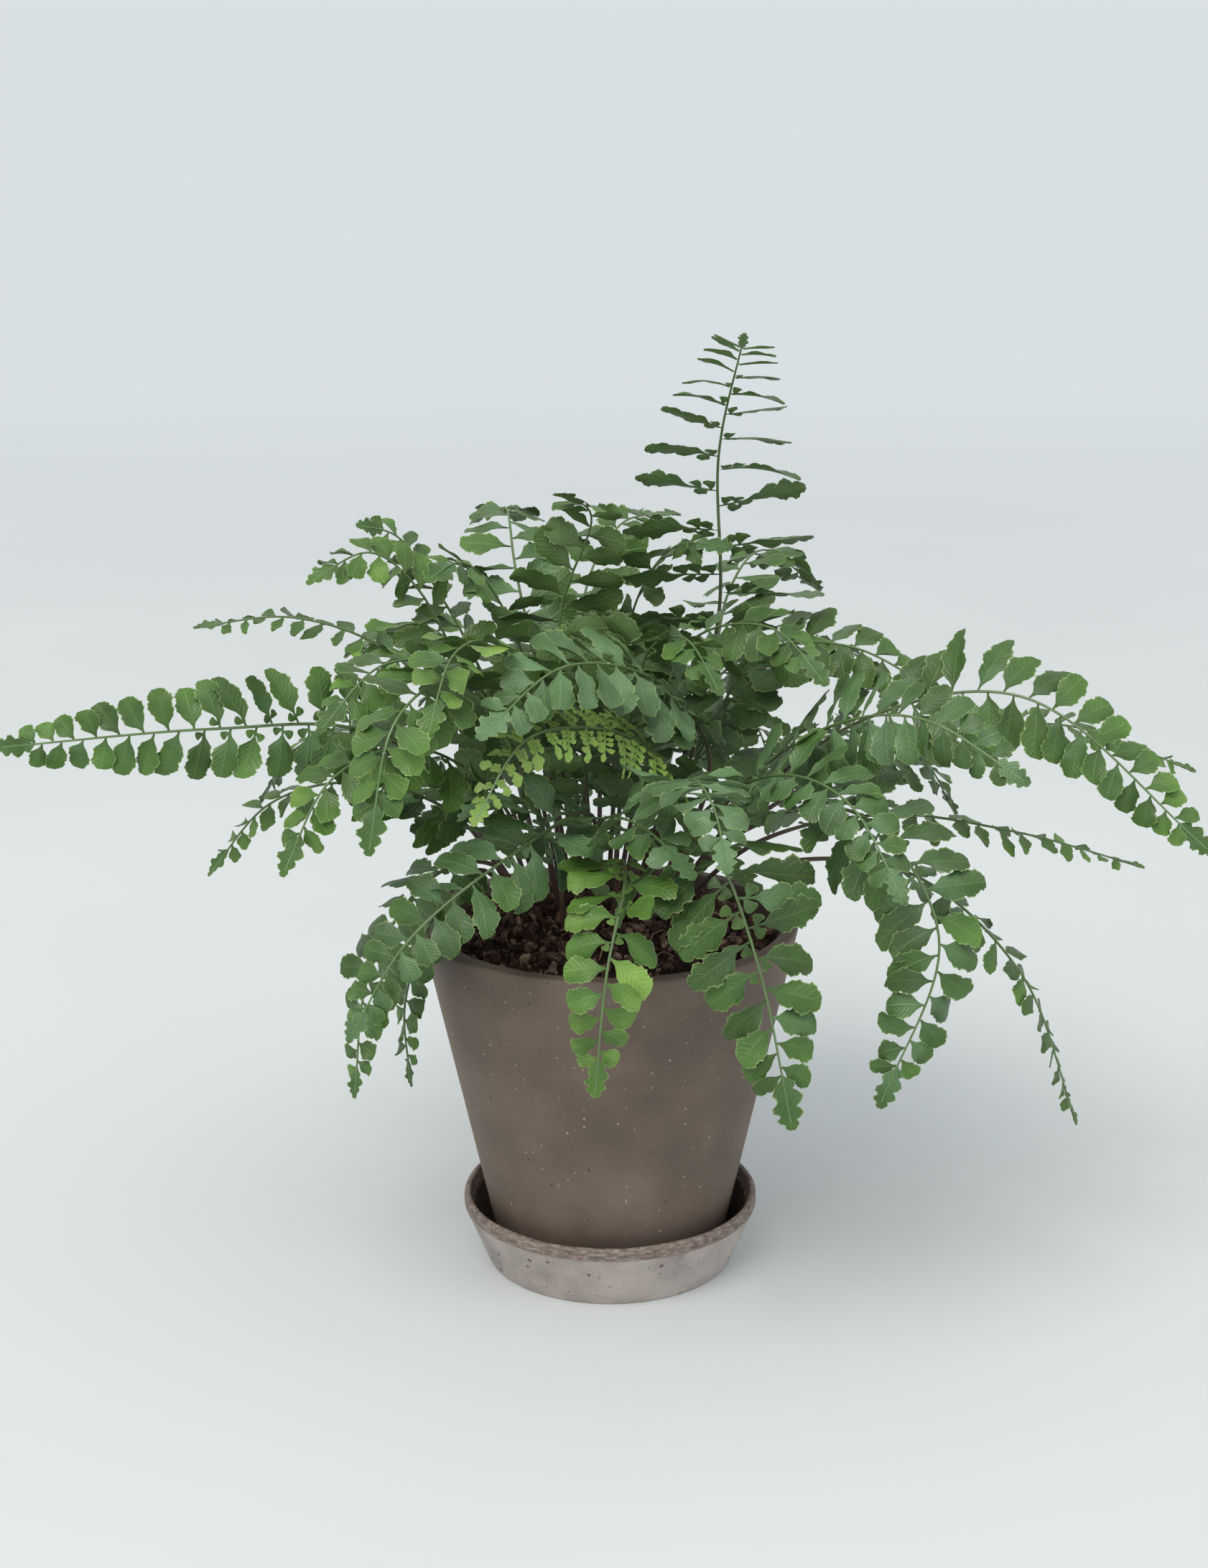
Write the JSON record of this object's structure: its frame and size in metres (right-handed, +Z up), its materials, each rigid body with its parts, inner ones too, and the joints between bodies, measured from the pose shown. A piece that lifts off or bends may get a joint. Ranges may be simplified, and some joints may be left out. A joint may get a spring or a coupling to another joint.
{
  "type": "potted spleenwort fern",
  "caption": "Potted fern with arching pinnate fronds, in a tapered clay pot that stands in a round saucer.",
  "frame": {"origin": "centre of the saucer's underside, on the surface that the plant stands on", "axes": "+Z up along the pot's axis, -Y towards the plant's front, +X to its right"},
  "size_m": [0.4291, 0.2965, 0.3482],
  "materials": {
    "saucer": "matt fired clay, pinkish grey, with a dark scuffed lip",
    "pot": "matt fired clay, warm grey brown",
    "soil": "loose dark brown crumbs",
    "frond": "leathery leaf, soft sheen"
  },
  "bodies": {
    "root": {"saucer": "saucer", "pot": "pot", "soil": "soil", "frondCrest": "frond", "frondTopMiddle": "frond", "frondTopBack": "frond", "frondTopRight": "frond", "frondTopLeft": "frond", "frondBackArch": "frond", "frondLeftRise": "frond", "frondLeftCrown": "frond", "frondLeftHigh": "frond", "frondLeftLong": "frond", "frondLeftLow": "frond", "frondLeftFront": "frond", "frondLeftBright": "frond", "frondLeftMiddle": "frond", "frondMiddle": "frond", "frondMiddleArch": "frond", "frondYoung": "frond", "frondMiddleRight": "frond", "frondNose": "frond", "frondFrontBright": "frond", "frondFrontBlue": "frond", "frondRightFront": "frond", "frondRightDroop": "frond", "frondRightMiddle": "frond", "frondRightLong": "frond", "frondRightBack": "frond", "frondRightBlue": "frond", "frondRightInner": "frond", "frondRightHigh": "frond", "frondRightRear": "frond", "frondLowLeft": "frond", "frondLowMiddle": "frond", "frondLeftFan": "frond", "frondLeftDroop": "frond", "frondLeftUnder": "frond", "frondBackMiddle": "frond", "frondBackRight": "frond", "frondBackLeft": "frond", "frondSideLeft": "frond", "frondSideRight": "frond", "frondRearLeft": "frond", "frondRearMiddle": "frond", "frondRearRight": "frond", "frondInnerLeft": "frond", "frondInnerRight": "frond"}
  },
  "joints": []
}
